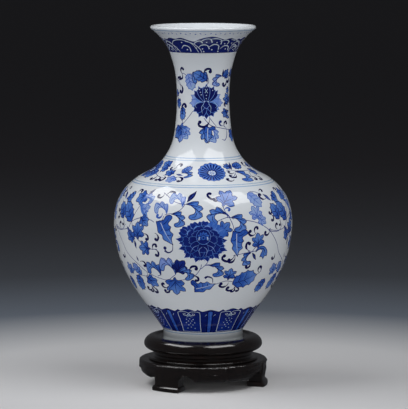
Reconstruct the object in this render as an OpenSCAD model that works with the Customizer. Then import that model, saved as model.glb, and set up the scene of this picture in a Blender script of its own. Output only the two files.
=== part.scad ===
// Porcelain bottle vase with a trumpet mouth, standing on a round lacquered wood stand.
// The origin is the centre of the circle on which the stand's three feet rest. +Z is up.
// The vase is one fired shell. The stand is turned and carved wood, doweled and screwed.

/* [Vase] */
// Height of the vase from its foot to its lip
vase_h = 350; // [300:5:400]
// Largest radius of the belly
belly_r = 99.7; // [90:0.1:110]
// Smallest radius of the neck
neck_r = 29.2; // [26:0.1:34]
// Radius of the mouth at the lip
mouth_r = 58.8; // [52:0.1:66]
// Radius of the foot ring
foot_r = 44.7; // [43:0.1:46]
// Thickness of the wall, and of the rounded lip
wall = 4; // [3:0.5:5]
// Height of the straight foot ring
foot_h = 10.5; // [9:0.5:12]

/* [Stand] */
// Height of the seat's surface above the floor
seat_z = 54; // [50:1:58]
// Largest radius of the seat disc
disc_r = 66.3; // [64:0.1:70]
// Height of the disc's lip above the seat
lip_rise = 2; // [1:0.5:3]
// Depth of the turned recess that the foot stands in
recess_depth = 1.5; // [1:0.25:2]
// Radius of the waist under the disc
waist_r = 56.5; // [55:0.5:58]
// Radius of the bead under the waist
bead_r = 61.5; // [60:0.5:63]

/* [Apron and legs] */
// Radius of the apron at its fullest
apron_r = 70.3; // [69:0.1:72]
// Height of the apron's top face above the floor
apron_top = 29.5; // [29:0.5:30]
// Height of the apron's lower edge above the floor
apron_low = 11; // [10:0.5:12]
// Half of the angle that one leg covers
leg_half = 13.5; // [12:0.5:15]
// Direction of the first leg's middle
leg_start = -127; // [-180:1:180]
// Height of a foot block
block_h = 5.6; // [5:0.1:6]

/* [Fixings] */
// Radius of the dowels in the apron's joints
dowel_r = 2.5; // [2:0.25:3]
// Length of the dowels in the apron's joints
dowel_l = 24; // [18:1:28]
// Radius of the screw shanks
screw_r = 2; // [1.5:0.25:2.25]

/* [Hidden] */
$fn = 96;
clear = 0.05;            // glue clearance round every dowel, pin and screw
legs = 3;
leg_step = 360 / legs;

// Vase, in its own height
vase_z = seat_z - recess_depth;
lip_r = wall / 2;
foot_in_r = foot_r - 7;
foot_hollow = 6;
floor_z = foot_hollow + 6;
foot_edge = 0.8;
lip_from = -42;          // where the round lip leaves the outer wall
lip_to = 138;            // where it meets the inner wall
span_steps = 6;

// Stand levels
disc_low = seat_z - 14.5;
bead_low = apron_top;
bead_high = bead_low + 2.6;
ring_in_r = 34;
recess_r = foot_r + 0.8;
board_r = 52;
board_low = apron_top - 8;
leg_in_r = 54;
leg_r = apron_r + 0.9;
block_r = apron_r + 2.4;
block_in_r = leg_in_r - 2;
block_half = leg_half + 0.8;
collar_r = apron_r + 1.1;

// Arches beside the legs, and the small notch at each joint
arch_r = 9.5;
arch_z = apron_low - 1.8;
arch_at = leg_half + 7.6;
notch_r = 3;

// Fixings
dowel_ring_r = 61;
dowel_levels = [17, 25];
pin_r = 2;
pin_l = 12;
pin_low = 2;
pin_ring_r = 62;
screw_ring_r = 44;
screw_l = 26;
head_r = 4;
head_h = 2.4;
head_sink = 0.4;         // how far a head sits below the board's face
slot_w = 1;
slot_d = 0.9;
far = 100;               // longer than the stand is wide

// A station on the outer wall: a share of the height, and a share of the way from radius a to b
function station(height, a, b, share) = [a + (b - a) * share, vase_h * height];

lip_centre = [mouth_r - lip_r, vase_h - lip_r];
function on_lip(angle) = lip_centre + lip_r * [cos(angle), sin(angle)];

stations = [
    [foot_r, foot_h],
    station(0.0886, foot_r, belly_r, 0.252),
    station(0.166, foot_r, belly_r, 0.598),
    station(0.257, foot_r, belly_r, 0.880),
    station(0.357, foot_r, belly_r, 1),
    station(0.4286, neck_r, belly_r, 0.962),
    station(0.477, neck_r, belly_r, 0.841),
    station(0.514, neck_r, belly_r, 0.650),
    station(0.5457, neck_r, belly_r, 0.380),
    station(0.580, neck_r, belly_r, 0.203),
    station(0.6314, neck_r, belly_r, 0.071),
    station(0.7086, neck_r, belly_r, 0.012),
    station(0.7857, neck_r, belly_r, 0),
    station(0.857, neck_r, mouth_r, 0.078),
    station(0.923, neck_r, mouth_r, 0.311),
    station(0.9657, neck_r, mouth_r, 0.655),
    on_lip(lip_from)
];

// A smooth curve through the stations, each span cut into span_steps
function along(p, q, r, s, t) =
    0.5 * (2 * q + (r - p) * t + (2 * p - 5 * q + 4 * r - s) * t * t
           + (3 * q - p - 3 * r + s) * t * t * t);
function curve(points) =
    let (n = len(points))
    [for (i = [0 : n - 2], k = [0 : span_steps - 1])
        let (p = i == 0 ? 2 * points[0] - points[1] : points[i - 1],
             s = i == n - 2 ? 2 * points[n - 1] - points[n - 2] : points[i + 2])
        along(p, points[i], points[i + 1], s, k / span_steps)];

// The same curve moved inwards by the wall's thickness
function inward(points) =
    [for (i = [0 : len(points) - 1])
        let (a = points[max(i - 1, 0)],
             b = points[min(i + 1, len(points) - 1)],
             d = (b - a) / norm(b - a))
        points[i] + wall * [-d[1], d[0]]];

function turned_back(points) = [for (i = [len(points) - 1 : -1 : 0]) points[i]];
function arc(centre, r, from, to, steps) =
    [for (k = [0 : steps])
        let (angle = from + (to - from) * k / steps)
        centre + r * [cos(angle), sin(angle)]];

// The same for an oval with half axes [across, up]
function oval(centre, axes, from, to, steps) =
    [for (k = [0 : steps])
        let (angle = from + (to - from) * k / steps)
        centre + [axes[0] * cos(angle), axes[1] * sin(angle)]];

module vase() {
    outer = curve(stations);
    inner = inward(outer);
    color([0.93, 0.95, 0.97])
    translate([0, 0, vase_z])
    rotate_extrude()
    polygon(concat(
        [[foot_in_r, 0], [foot_r - foot_edge, 0], [foot_r, foot_edge]],
        outer,
        arc(lip_centre, lip_r, lip_from, lip_to, 8),
        turned_back([for (p = inner) if (p[1] > floor_z + 2) p]),
        [[foot_in_r, floor_z], [0, floor_z], [0, foot_hollow], [foot_in_r - 1, foot_hollow]]
    ));
}

// Lacquered wood, slightly redder on the turned pieces
module lacquer(tint = 0) {
    color([0.07 + tint, 0.05, 0.05]) children();
}

module screw_holes(r, low, high) {
    for (i = [0 : legs - 1])
        rotate([0, 0, leg_start + i * leg_step])
        translate([screw_ring_r, 0, low])
        cylinder(h = high - low, r = r);
}

// A turned disc with a full rounded rim that stands a little above the seat
module seat_disc() {
    lip_z = seat_z + lip_rise;
    rim_reach = 11;
    rim_from = disc_r - rim_reach;
    rim_mid = disc_low + 7;
    lacquer(0.03)
    difference() {
        rotate_extrude()
        polygon(concat(
            [[0, disc_low]],
            oval([rim_from, rim_mid], [rim_reach, rim_mid - disc_low], -90, 0, 9),
            oval([rim_from, rim_mid], [rim_reach, lip_z - rim_mid], 10, 90, 8),
            arc([rim_from, lip_z - 3], 3, 100, 150, 4),
            [[rim_from - 5, seat_z], [0, seat_z]]
        ));
        translate([0, 0, seat_z - recess_depth])
        cylinder(h = far, r = recess_r);
        screw_holes(screw_r + clear, disc_low - 1, board_low + head_sink + screw_l + 0.5);
    }
}

module waist_ring() {
    hollow = 1.6;
    middle = (disc_low + bead_high) / 2;
    lacquer()
    difference() {
        rotate_extrude()
        polygon([
            [ring_in_r, bead_high], [waist_r, bead_high], [waist_r - hollow, bead_high + 1.2],
            [waist_r - hollow, middle], [waist_r - hollow, disc_low - 1],
            [waist_r - 0.4, disc_low], [ring_in_r, disc_low]
        ]);
        screw_holes(screw_r + clear, bead_high - 1, disc_low + 1);
    }
}

module bead_ring() {
    bead_half = (bead_high - bead_low) / 2;
    lacquer(0.02)
    difference() {
        rotate_extrude()
        polygon(concat(
            [[ring_in_r, bead_low]],
            arc([bead_r - bead_half, bead_low + bead_half], bead_half, -90, 90, 8),
            [[ring_in_r, bead_high]]
        ));
        screw_holes(screw_r + clear, bead_low - 1, bead_high + 1);
    }
}

module core_board() {
    lacquer()
    difference() {
        translate([0, 0, board_low])
        cylinder(h = apron_top - board_low, r = board_r - clear);
        screw_holes(screw_r + clear, board_low - 1, apron_top + 1);
        for (i = [0 : legs - 1])
            rotate([0, 0, leg_start + i * leg_step])
            translate([screw_ring_r, 0, board_low])
            screw_seat();
    }
}

// The countersink that one head sits in
module screw_seat() {
    translate([0, 0, -1])
    cylinder(h = head_sink + 1, r = head_r + clear);
    translate([0, 0, head_sink])
    cylinder(h = head_h, r1 = head_r + clear, r2 = screw_r + clear);
}

// A wedge that covers half degrees to each side of +X
module wedge(half, low, high) {
    translate([0, 0, low])
    linear_extrude(high - low)
    polygon([[0, 0], far * [cos(half), -sin(half)], [far * 1.3, 0], far * [cos(half), sin(half)]]);
}

module apron_band() {
    rotate_extrude()
    polygon(concat(
        [[board_r, apron_low], [apron_r - 7, apron_low]],
        arc([apron_r - 9, apron_low + 9], 9, -60, 0, 6),
        [[apron_r, apron_top - 1.5], [apron_r - 1.5, apron_top], [board_r, apron_top]]
    ));
}

// The cloud collar: a thin raised skin with a scalloped lower edge, full over the legs
// and drawn up to a point over each joint
module collar_outline() {
    reach = collar_r * sin(leg_step / 2);
    dip = collar_r * sin(13);
    polygon([
        [-reach, apron_top], [-reach, 27.6], [-reach * 0.72, 26.8], [-reach * 0.46, 24.8],
        [-reach * 0.36, 22.6], [-dip * 1.1, 20.3], [-dip * 0.8, 20.2], [-dip * 0.42, 23],
        [-dip * 0.2, 26.6], [0, 28], [dip * 0.2, 26.6], [dip * 0.42, 23],
        [dip * 0.8, 20.2], [dip * 1.1, 20.3], [reach * 0.36, 22.6],
        [reach * 0.46, 24.8], [reach * 0.72, 26.8], [reach, 27.6], [reach, apron_top]
    ]);
}

module collar_skin() {
    intersection() {
        rotate_extrude()
        polygon([
            [apron_r - 4, 19], [collar_r, 19], [collar_r, apron_top - 1.2],
            [collar_r - 1.2, apron_top], [apron_r - 4, apron_top]
        ]);
        union() {
            for (side = [-1, 1])
                rotate([0, 0, side * leg_step / 2])
                rotate([90, 0, 90])
                linear_extrude(far)
                collar_outline();
        }
    }
}

module leg_post() {
    intersection() {
        rotate_extrude()
        polygon([
            [leg_in_r, block_h], [leg_r - 1, block_h], [leg_r - 1.8, block_h + 3],
            [leg_r - 1, 13], [leg_r, 18], [leg_r, apron_top - 1.5],
            [leg_r - 1.5, apron_top], [leg_in_r, apron_top]
        ]);
        wedge(leg_half, 0, far);
    }
}

module joint_dowel_bores(r, half_l) {
    for (side = [-1, 1], level = dowel_levels)
        rotate([0, 0, side * leg_step / 2])
        translate([dowel_ring_r, 0, level])
        rotate([90, 0, 0])
        cylinder(h = 2 * half_l, r = r, center = true);
}

module leg_segment(number) {
    lacquer(0.02)
    rotate([0, 0, leg_start + (number - 1) * leg_step])
    difference() {
        union() {
            difference() {
                intersection() {
                    union() {
                        apron_band();
                        collar_skin();
                    }
                    wedge(leg_step / 2, 0, far);
                }
                for (side = [-1, 1]) {
                    rotate([0, 0, side * arch_at])
                    translate([board_r - 5, 0, arch_z])
                    rotate([0, 90, 0])
                    cylinder(h = 40, r = arch_r);
                    rotate([0, 0, side * leg_step / 2])
                    translate([board_r - 5, 0, apron_low])
                    rotate([0, 90, 0])
                    cylinder(h = 40, r = notch_r);
                }
            }
            leg_post();
        }
        joint_dowel_bores(dowel_r + clear, dowel_l / 2 + 0.5);
        translate([pin_ring_r, 0, 0])
        cylinder(h = pin_low + pin_l + 0.5, r = pin_r + clear);
    }
}

module foot_block(number) {
    lacquer(0.01)
    rotate([0, 0, leg_start + (number - 1) * leg_step])
    difference() {
        intersection() {
            rotate_extrude()
            polygon([
                [block_in_r, 0], [block_r - 0.8, 0], [block_r, 0.8],
                [block_r, block_h - 1.6], [block_r - 1.6, block_h], [block_in_r, block_h]
            ]);
            wedge(block_half, 0, far);
        }
        translate([pin_ring_r, 0, pin_low])
        cylinder(h = far, r = pin_r + clear);
    }
}

// The two dowels across one joint, between segment number and the next
module joint_dowels(number) {
    color("burlywood")
    rotate([0, 0, leg_start + (number - 0.5) * leg_step])
    for (level = dowel_levels)
        translate([dowel_ring_r, 0, level])
        rotate([90, 0, 0])
        cylinder(h = dowel_l, r = dowel_r, center = true);
}

module foot_pins() {
    color("burlywood")
    for (i = [0 : legs - 1])
        rotate([0, 0, leg_start + i * leg_step])
        translate([pin_ring_r, 0, pin_low])
        cylinder(h = pin_l, r = pin_r);
}

module seat_screws() {
    color("silver")
    for (i = [0 : legs - 1])
        rotate([0, 0, leg_start + i * leg_step])
        translate([screw_ring_r, 0, board_low + head_sink])
        difference() {
            union() {
                cylinder(h = head_h, r1 = head_r, r2 = screw_r);
                cylinder(h = screw_l, r = screw_r);
            }
            translate([-head_r - 1, -slot_w / 2, -1])
            cube([2 * head_r + 2, slot_w, slot_d + 1]);
        }
}

vase();
seat_disc();
waist_ring();
bead_ring();
core_board();
leg_segment(1);  // leg_segment_1
leg_segment(2);  // leg_segment_2
leg_segment(3);  // leg_segment_3
foot_block(1);  // foot_block_1
foot_block(2);  // foot_block_2
foot_block(3);  // foot_block_3
joint_dowels(1);  // joint_dowels_1
joint_dowels(2);  // joint_dowels_2
joint_dowels(3);  // joint_dowels_3
foot_pins();
seat_screws();
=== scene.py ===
import math

import bmesh
import bpy
import numpy as np
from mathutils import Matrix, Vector
from mathutils.geometry import delaunay_2d_cdt


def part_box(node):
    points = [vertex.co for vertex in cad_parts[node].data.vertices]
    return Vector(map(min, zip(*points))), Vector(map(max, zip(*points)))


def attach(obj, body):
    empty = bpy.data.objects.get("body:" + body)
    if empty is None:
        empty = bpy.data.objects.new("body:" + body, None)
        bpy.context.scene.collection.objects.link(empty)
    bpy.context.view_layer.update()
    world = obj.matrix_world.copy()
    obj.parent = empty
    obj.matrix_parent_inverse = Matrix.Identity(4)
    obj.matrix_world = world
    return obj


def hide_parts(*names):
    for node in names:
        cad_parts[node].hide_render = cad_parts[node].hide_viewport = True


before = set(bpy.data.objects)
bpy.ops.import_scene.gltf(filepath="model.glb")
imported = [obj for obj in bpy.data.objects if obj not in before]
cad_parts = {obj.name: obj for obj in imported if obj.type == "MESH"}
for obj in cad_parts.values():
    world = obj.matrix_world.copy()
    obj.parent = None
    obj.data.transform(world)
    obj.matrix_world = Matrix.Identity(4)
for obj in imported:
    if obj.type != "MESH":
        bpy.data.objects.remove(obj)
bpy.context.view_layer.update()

bpy.ops.object.select_all(action="DESELECT")

# the vase: lengths in millimetres, heights from the foot's resting face
vaseShape = {
    "foot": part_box("vase")[0].z * 1000,
    "wall": 4.0,
    "columns": 144,
    "floorHeight": 12.0,
    "hollowHeight": 6.0,
    "footInside": 37.7,
    "footRounding": 0.8,
    "lipRadius": 2.0,
}


def outsideOfVase():
    # the CAD vase's outer wall as rows of height and radius, lowest first
    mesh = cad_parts["vase"].data
    rows = {}
    for loop, normal in zip(mesh.loops, mesh.corner_normals):
        place = mesh.vertices[loop.vertex_index].co
        radius = math.hypot(place.x, place.y)
        if radius > 0.02 and (normal.vector.x * place.x + normal.vector.y * place.y) / radius > 0.03:
            height = place.z * 1000 - vaseShape["foot"]
            rows[round(height, 1)] = max(rows.get(round(height, 1), (0, 0)), (radius * 1000, height))
    return sorted((height, radius) for radius, height in rows.values() if height < 346.8)


outside = outsideOfVase()
wallHeight = np.array([row[0] for row in outside])
wallRadius = np.array([row[1] for row in outside])
wallLength = np.concatenate([[0], np.cumsum(np.hypot(np.diff(wallHeight), np.diff(wallRadius)))])


def up(height):
    # length along the wall from the foot to a height
    return float(np.interp(height, wallHeight, wallLength))


def radiusAt(length):
    return float(np.interp(length, wallLength, wallRadius))


def smooth(points, closed=True, steps=4):
    # a curve through the points; a third value marks a sharp point
    n, out = len(points), []
    for i in range(n if closed else n - 1):
        b, c = points[i], points[(i + 1) % n]
        a, d = points[i - 1], points[(i + 2) % n]
        if len(b) > 2 or (not closed and i == 0):
            a = (2 * b[0] - c[0], 2 * b[1] - c[1])
        if len(c) > 2 or (not closed and i == n - 2):
            d = (2 * c[0] - b[0], 2 * c[1] - b[1])
        for k in range(steps):
            t = k / steps
            out.append(tuple(
                0.5 * (2 * b[j] + (c[j] - a[j]) * t + (2 * a[j] - 5 * b[j] + 4 * c[j] - d[j]) * t * t
                       + (3 * b[j] - a[j] - 3 * c[j] + d[j]) * t ** 3) for j in (0, 1)))
    if not closed:
        out.append(tuple(points[-1][:2]))
    return out


def thinned(points, gap=0.45):
    # leaves out points that are closer than gap to the last one kept
    out = []
    for p in points:
        if not out or math.hypot(p[0] - out[-1][0], p[1] - out[-1][1]) > gap:
            out.append(p)
    return out


def isAnticlockwise(points):
    return sum(a[0] * b[1] - b[0] * a[1] for a, b in zip(points, points[1:] + points[:1])) > 0


def inset(points, depth):
    # the outline moved inwards by depth
    side = 1 if isAnticlockwise(points) else -1
    out = []
    for i, p in enumerate(points):
        a, c = points[i - 1], points[(i + 1) % len(points)]
        u = np.array([p[0] - a[0], p[1] - a[1]])
        v = np.array([c[0] - p[0], c[1] - p[1]])
        u, v = u / (np.linalg.norm(u) + 1e-9), v / (np.linalg.norm(v) + 1e-9)
        m = np.array([-u[1] - v[1], u[0] + v[0]]) * side
        size = np.linalg.norm(m)
        reach = depth if size < 0.3 else min(depth * 2 / size, 2.5 * depth)
        m = m / (size + 1e-9) * reach
        out.append((p[0] + m[0], p[1] + m[1]))
    return out


def stroke(points, widths, ink=0.9, steps=5, gap=0.95):
    # a brush line with its width given at even steps along it; like every shape of the painting it is
    # an outline, its ink at two places, from 0 bare to 1 darkest, and those places
    line = thinned(smooth(points, False, steps), gap) if len(points) > 2 else [p[:2] for p in points]
    left, right = [], []
    for i, p in enumerate(line):
        a, b = line[max(i - 1, 0)], line[min(i + 1, len(line) - 1)]
        dx, dy = b[0] - a[0], b[1] - a[1]
        size = math.hypot(dx, dy) + 1e-9
        w = float(np.interp(i / (len(line) - 1), np.linspace(0, 1, len(widths)), widths)) / 2
        left.append((p[0] - dy / size * w, p[1] + dx / size * w))
        right.append((p[0] + dy / size * w, p[1] - dx / size * w))
    return (left + right[::-1], ink, ink, None, None)


def dot(x, y, radius, ink, sides=9, tall=1.0):
    turns = [2 * math.pi * k / sides for k in range(sides)]
    ring = [(x + radius * math.cos(a), y + tall * radius * math.sin(a)) for a in turns]
    return (ring, ink, ink, None, None)


# the ink of a leaf at its stem, at its tip and along its outline
tones = {
    "pale": (0.2, 0.34, 0.6),
    "light": (0.32, 0.52, 0.86),
    "blue": (0.44, 0.7, 0.97),
    "navy": (0.82, 0.97, 1.0),
}


def leafShape(outline, length, tone, line=0.78, rib=None, veins=()):
    start, end, edge = tones[tone]
    points = thinned([(x * length, y * length) for x, y in smooth(outline, True, 3)], 0.04 * length + 0.2)
    made = [(points, edge, edge, None, None),
            (inset(points, line), end, start, (0, 0), (0, length * 0.8))]
    for vein in veins:
        made.append(stroke([(x * length, y * length) for x, y in vein], (0.85, 0.7, 0.3), edge, gap=1.6))
    if rib:
        made.append(stroke([(x * length, y * length) for x, y in rib], (0.7, 0.6, 0.2), 0.04))
    return made


def turnedPoints(points, degrees, scale=1.0):
    c, s = math.cos(math.radians(degrees)), math.sin(math.radians(degrees))
    return [((c * p[0] - s * p[1]) * scale, (s * p[0] + c * p[1]) * scale) + tuple(p[2:]) for p in points]


def palmette(length, tone):
    # a curled half leaf with three tips: it grows up and curls over to the right
    outline = turnedPoints([
        (0, 0), (0.2, 0.08), (0.5, 0.14), (0.8, 0.1, 1), (0.82, -0.04), (0.76, -0.14), (0.94, -0.22),
        (1.06, -0.42, 1), (0.96, -0.52), (0.84, -0.56), (0.96, -0.68), (0.98, -0.9, 1), (0.8, -0.98),
        (0.54, -1.03), (0.28, -1.0), (0.12, -0.86), (0.18, -0.7), (0.36, -0.66), (0.5, -0.62),
        (0.55, -0.42), (0.32, -0.14)],
        111.4, 0.91)
    veins = [turnedPoints(vein, 111.4, 0.91) for vein in (
        [(0.15, 0.0), (0.5, 0.02), (0.74, 0.05)], [(0.35, -0.1), (0.7, -0.24), (0.98, -0.4)],
        [(0.56, -0.3), (0.76, -0.58), (0.9, -0.82)], [(0.66, -0.62), (0.54, -0.82), (0.3, -0.88)])]
    return leafShape(outline, length, tone, veins=veins)


def ivy(length, tone):
    outline = [
        (-0.05, 0), (-0.1, 0.14), (-0.3, 0.12), (-0.46, 0.26, 1), (-0.4, 0.4), (-0.3, 0.44), (-0.44, 0.56),
        (-0.46, 0.74, 1), (-0.3, 0.76), (-0.2, 0.72), (-0.16, 0.86), (0, 1, 1), (0.16, 0.88), (0.2, 0.74),
        (0.32, 0.8), (0.48, 0.78, 1), (0.46, 0.6), (0.32, 0.48), (0.44, 0.42), (0.52, 0.28, 1),
        (0.34, 0.14), (0.12, 0.14), (0.05, 0)]
    veins = ([(0, 0.1), (0.02, 0.5), (0, 0.88)], [(0, 0.26), (0.2, 0.52), (0.38, 0.72)],
             [(0, 0.24), (-0.2, 0.5), (-0.38, 0.68)], [(0, 0.18), (-0.18, 0.26), (-0.36, 0.28)],
             [(0.04, 0.18), (0.26, 0.26), (0.42, 0.28)])
    return leafShape(outline, length, tone, veins=veins)


def leaf(length, tone):
    outline = [
        (-0.05, 0), (-0.12, 0.1), (-0.36, 0.1), (-0.46, 0.28, 1), (-0.36, 0.42), (-0.44, 0.58),
        (-0.4, 0.76, 1), (-0.2, 0.78), (-0.14, 0.9), (0, 1, 1), (0.16, 0.88), (0.2, 0.74), (0.4, 0.72, 1),
        (0.42, 0.56), (0.32, 0.44), (0.46, 0.3), (0.42, 0.14, 1), (0.16, 0.1), (0.05, 0)]
    veins = ([(0, 0.08), (0.02, 0.5), (0, 0.86)], [(0, 0.2), (-0.18, 0.28), (-0.36, 0.3)],
             [(0, 0.36), (-0.16, 0.56), (-0.32, 0.68)], [(0, 0.26), (0.18, 0.46), (0.32, 0.62)])
    return leafShape(outline, length, tone, veins=veins)


def longLeaf(length, tone):
    outline = [
        (0, 0), (-0.14, 0.06), (-0.3, -0.02), (-0.46, 0.03), (-0.5, 0.15), (-0.38, 0.22), (-0.24, 0.28),
        (-0.3, 0.42), (-0.2, 0.52), (-0.24, 0.68), (-0.1, 0.78), (-0.02, 1, 1), (0.1, 0.8), (0.2, 0.64),
        (0.16, 0.5), (0.24, 0.34), (0.18, 0.16), (0.12, -0.04), (0.03, 0.02)]
    veins = ([(-0.08, 0.2), (-0.22, 0.18), (-0.38, 0.1)], [(-0.04, 0.4), (-0.16, 0.46), (-0.26, 0.4)],
             [(-0.02, 0.6), (-0.12, 0.66), (-0.2, 0.62)], [(0.02, 0.3), (0.1, 0.36), (0.18, 0.32)])
    return leafShape(outline, length, tone, rib=[(-0.02, 0.1), (0.0, 0.5), (-0.02, 0.92)], veins=veins)


def feather(length, tone):
    outline = [
        (-0.02, 0), (-0.16, 0.08), (-0.29, 0.2, 1), (-0.25, 0.3), (-0.34, 0.42, 1), (-0.28, 0.52),
        (-0.33, 0.66, 1), (-0.24, 0.74), (-0.22, 0.88, 1), (-0.1, 0.88), (0.02, 1, 1), (0.12, 0.88),
        (0.24, 0.84, 1), (0.25, 0.72), (0.33, 0.6, 1), (0.27, 0.5), (0.34, 0.36, 1), (0.25, 0.28),
        (0.26, 0.14, 1), (0.12, 0.07), (0.02, 0)]
    veins = ([(0, 0.1), (0.03, 0.5), (0, 0.88)], [(0, 0.22), (-0.13, 0.32), (-0.27, 0.39)],
             [(0, 0.44), (-0.12, 0.54), (-0.25, 0.62)], [(0.02, 0.24), (0.13, 0.31), (0.27, 0.35)],
             [(0.02, 0.44), (0.13, 0.51), (0.26, 0.58)])
    return leafShape(outline, length, tone, veins=veins)


def cLeaf(length, tone):
    # a leaf that arches out to the left and comes back to end in three lobes
    outline = turnedPoints([
        (0, 0), (0.02, 0.2), (0.2, 0.42), (0.5, 0.52), (0.84, 0.42), (1.08, 0.18), (1.12, -0.16, 1),
        (0.94, -0.16), (0.84, -0.42, 1), (0.66, -0.26), (0.46, -0.3, 1), (0.5, 0.0), (0.56, 0.16),
        (0.42, 0.24), (0.22, 0.18), (0.06, 0.02)], 90)
    return leafShape(outline, length, tone, veins=[turnedPoints(v, 90) for v in (
        [(0.3, 0.34), (0.7, 0.3), (0.94, 0.0)], [(0.6, 0.36), (0.78, 0.12), (0.76, -0.2)])])


def blade(length, tone):
    start, end, edge = tones[tone]
    outline = [
        (0, 0, 1), (-0.1, 0.2), (-0.17, 0.46), (-0.08, 0.72), (0, 1, 1), (0.14, 0.66), (0.15, 0.4),
        (0.08, 0.16)]
    points = thinned([(x * length, y * length) for x, y in smooth(outline, True, 3)], 0.04 * length + 0.2)
    return [(points, edge, end, (0, 0), (0, length)),
            stroke([(0, length * 0.15), (length * 0.02, length * 0.5), (0, length * 0.85)],
                   (0.2, 0.5, 0.1), start * 0.8)]


def comma(length, tone):
    # a thin tail that swells, hooks over to the right and ends in a round head
    ink = tones[tone][2]
    thick = min(2.7, 0.9 + length * 0.16)
    path = [(0, 0), (-0.24 * length, 0.26 * length), (-0.28 * length, 0.66 * length), (0.0, 0.93 * length),
            (0.24 * length, 0.8 * length)]
    return [stroke(path, (0.45, 0.8, thick, thick, thick * 0.9), ink),
            dot(0.18 * length, 0.74 * length, thick * 0.74, ink)]


kinds = {"palmette": palmette, "ivy": ivy, "leaf": leaf, "longLeaf": longLeaf, "feather": feather,
         "cLeaf": cLeaf, "blade": blade, "comma": comma}


class Band:
    # one painted band of the wall, laid flat: across is azimuth, up is length along the wall
    def __init__(self, name, low, high, repeats, rowGap):
        self.name, self.low, self.high, self.repeats, self.rowGap = name, up(low), up(high), repeats, rowGap
        self.radius = max(radiusAt(self.low), radiusAt(self.high), radiusAt((self.low + self.high) / 2))
        self.period = 2 * math.pi * self.radius / repeats
        self.shapes = []

    def at(self, azimuth, height):
        return math.radians(azimuth) * self.radius, up(height)

    def lay(self, made, azimuth, height, turn=0.0, flip=False):
        # made is drawn in millimetres round its own origin, with its stem towards -Y
        x, y = self.at(azimuth, height)
        c, s = math.cos(turn), math.sin(turn)

        def place(p):
            across, along = (-p[0] if flip else p[0]), p[1]
            dx, dy = c * across + s * along, c * along - s * across
            level = min(max(y + dy, self.low + 0.15), self.high - 0.15)
            return x + dx * self.radius / radiusAt(level), level

        for points, start, end, a, b in made:
            self.shapes.append(([place(p) for p in points], start, end, a and place(a), b and place(b)))

    def grow(self, kind, tone, base, tip, curl=None):
        size = radiusAt(up((base[1] + tip[1]) / 2))
        dx, dy = math.radians(tip[0] - base[0]) * size, up(tip[1]) - up(base[1])
        flip = False
        if curl:   # which side it curls to
            cx, cy = math.radians(curl[0] - base[0]) * size, up(curl[1]) - up(base[1])
            flip = dx * cy - dy * cx > 0
        self.lay(kinds[kind](math.hypot(dx, dy), tone), *base, turn=math.atan2(dx, dy), flip=flip)

    def line(self, places, widths=(0.7, 0.7), ink=0.84):
        self.shapes.append(stroke([self.at(*p) for p in places], widths, ink, gap=1.5))

    def area(self, places, ink, end=None):
        points = [self.at(*p[:2]) + tuple(p[2:]) for p in places]
        self.shapes.append((thinned(smooth(points, True, 3)), ink, ink if end is None else end,
                            points[0][:2], (points[0][0], self.low)))


petalTips = {
    "ragged": [(-0.4, 0.84, 1), (-0.22, 0.82), (0, 1, 1), (0.22, 0.82), (0.4, 0.84, 1)],
    "pointed": [(0, 1, 1)],
    "lobed": [
        (-0.48, 0.84), (-0.36, 0.96), (-0.2, 0.93), (-0.06, 1.0), (0.12, 0.95), (0.28, 0.98), (0.44, 0.86)],
}


def petal(length, width, fill, edge, line=0.5, kind="ragged"):
    tip = petalTips[kind]
    outline = [(-0.1, 0), (-0.4, 0.3), (-0.5, 0.6)] + tip + [(0.5, 0.6), (0.4, 0.3), (0.1, 0)]
    points = thinned([(x * width, y * length) for x, y in smooth(outline, True, 2)], 0.8)
    return [(points, edge, edge, None, None), (inset(points, line), fill[0], fill[1], (0, 0), (0, length))]


def turnedShapes(made, degrees, dx=0.0, dy=0.0, squash=1.0):
    # clockwise turn, then a squash along Y, then a shift
    c, s = math.cos(math.radians(degrees)), math.sin(math.radians(degrees))

    def place(p):
        return c * p[0] + s * p[1] + dx, (c * p[1] - s * p[0]) * squash + dy
    return [([place(p) for p in points], start, end, a and place(a), b and place(b))
            for points, start, end, a, b in made]


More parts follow.
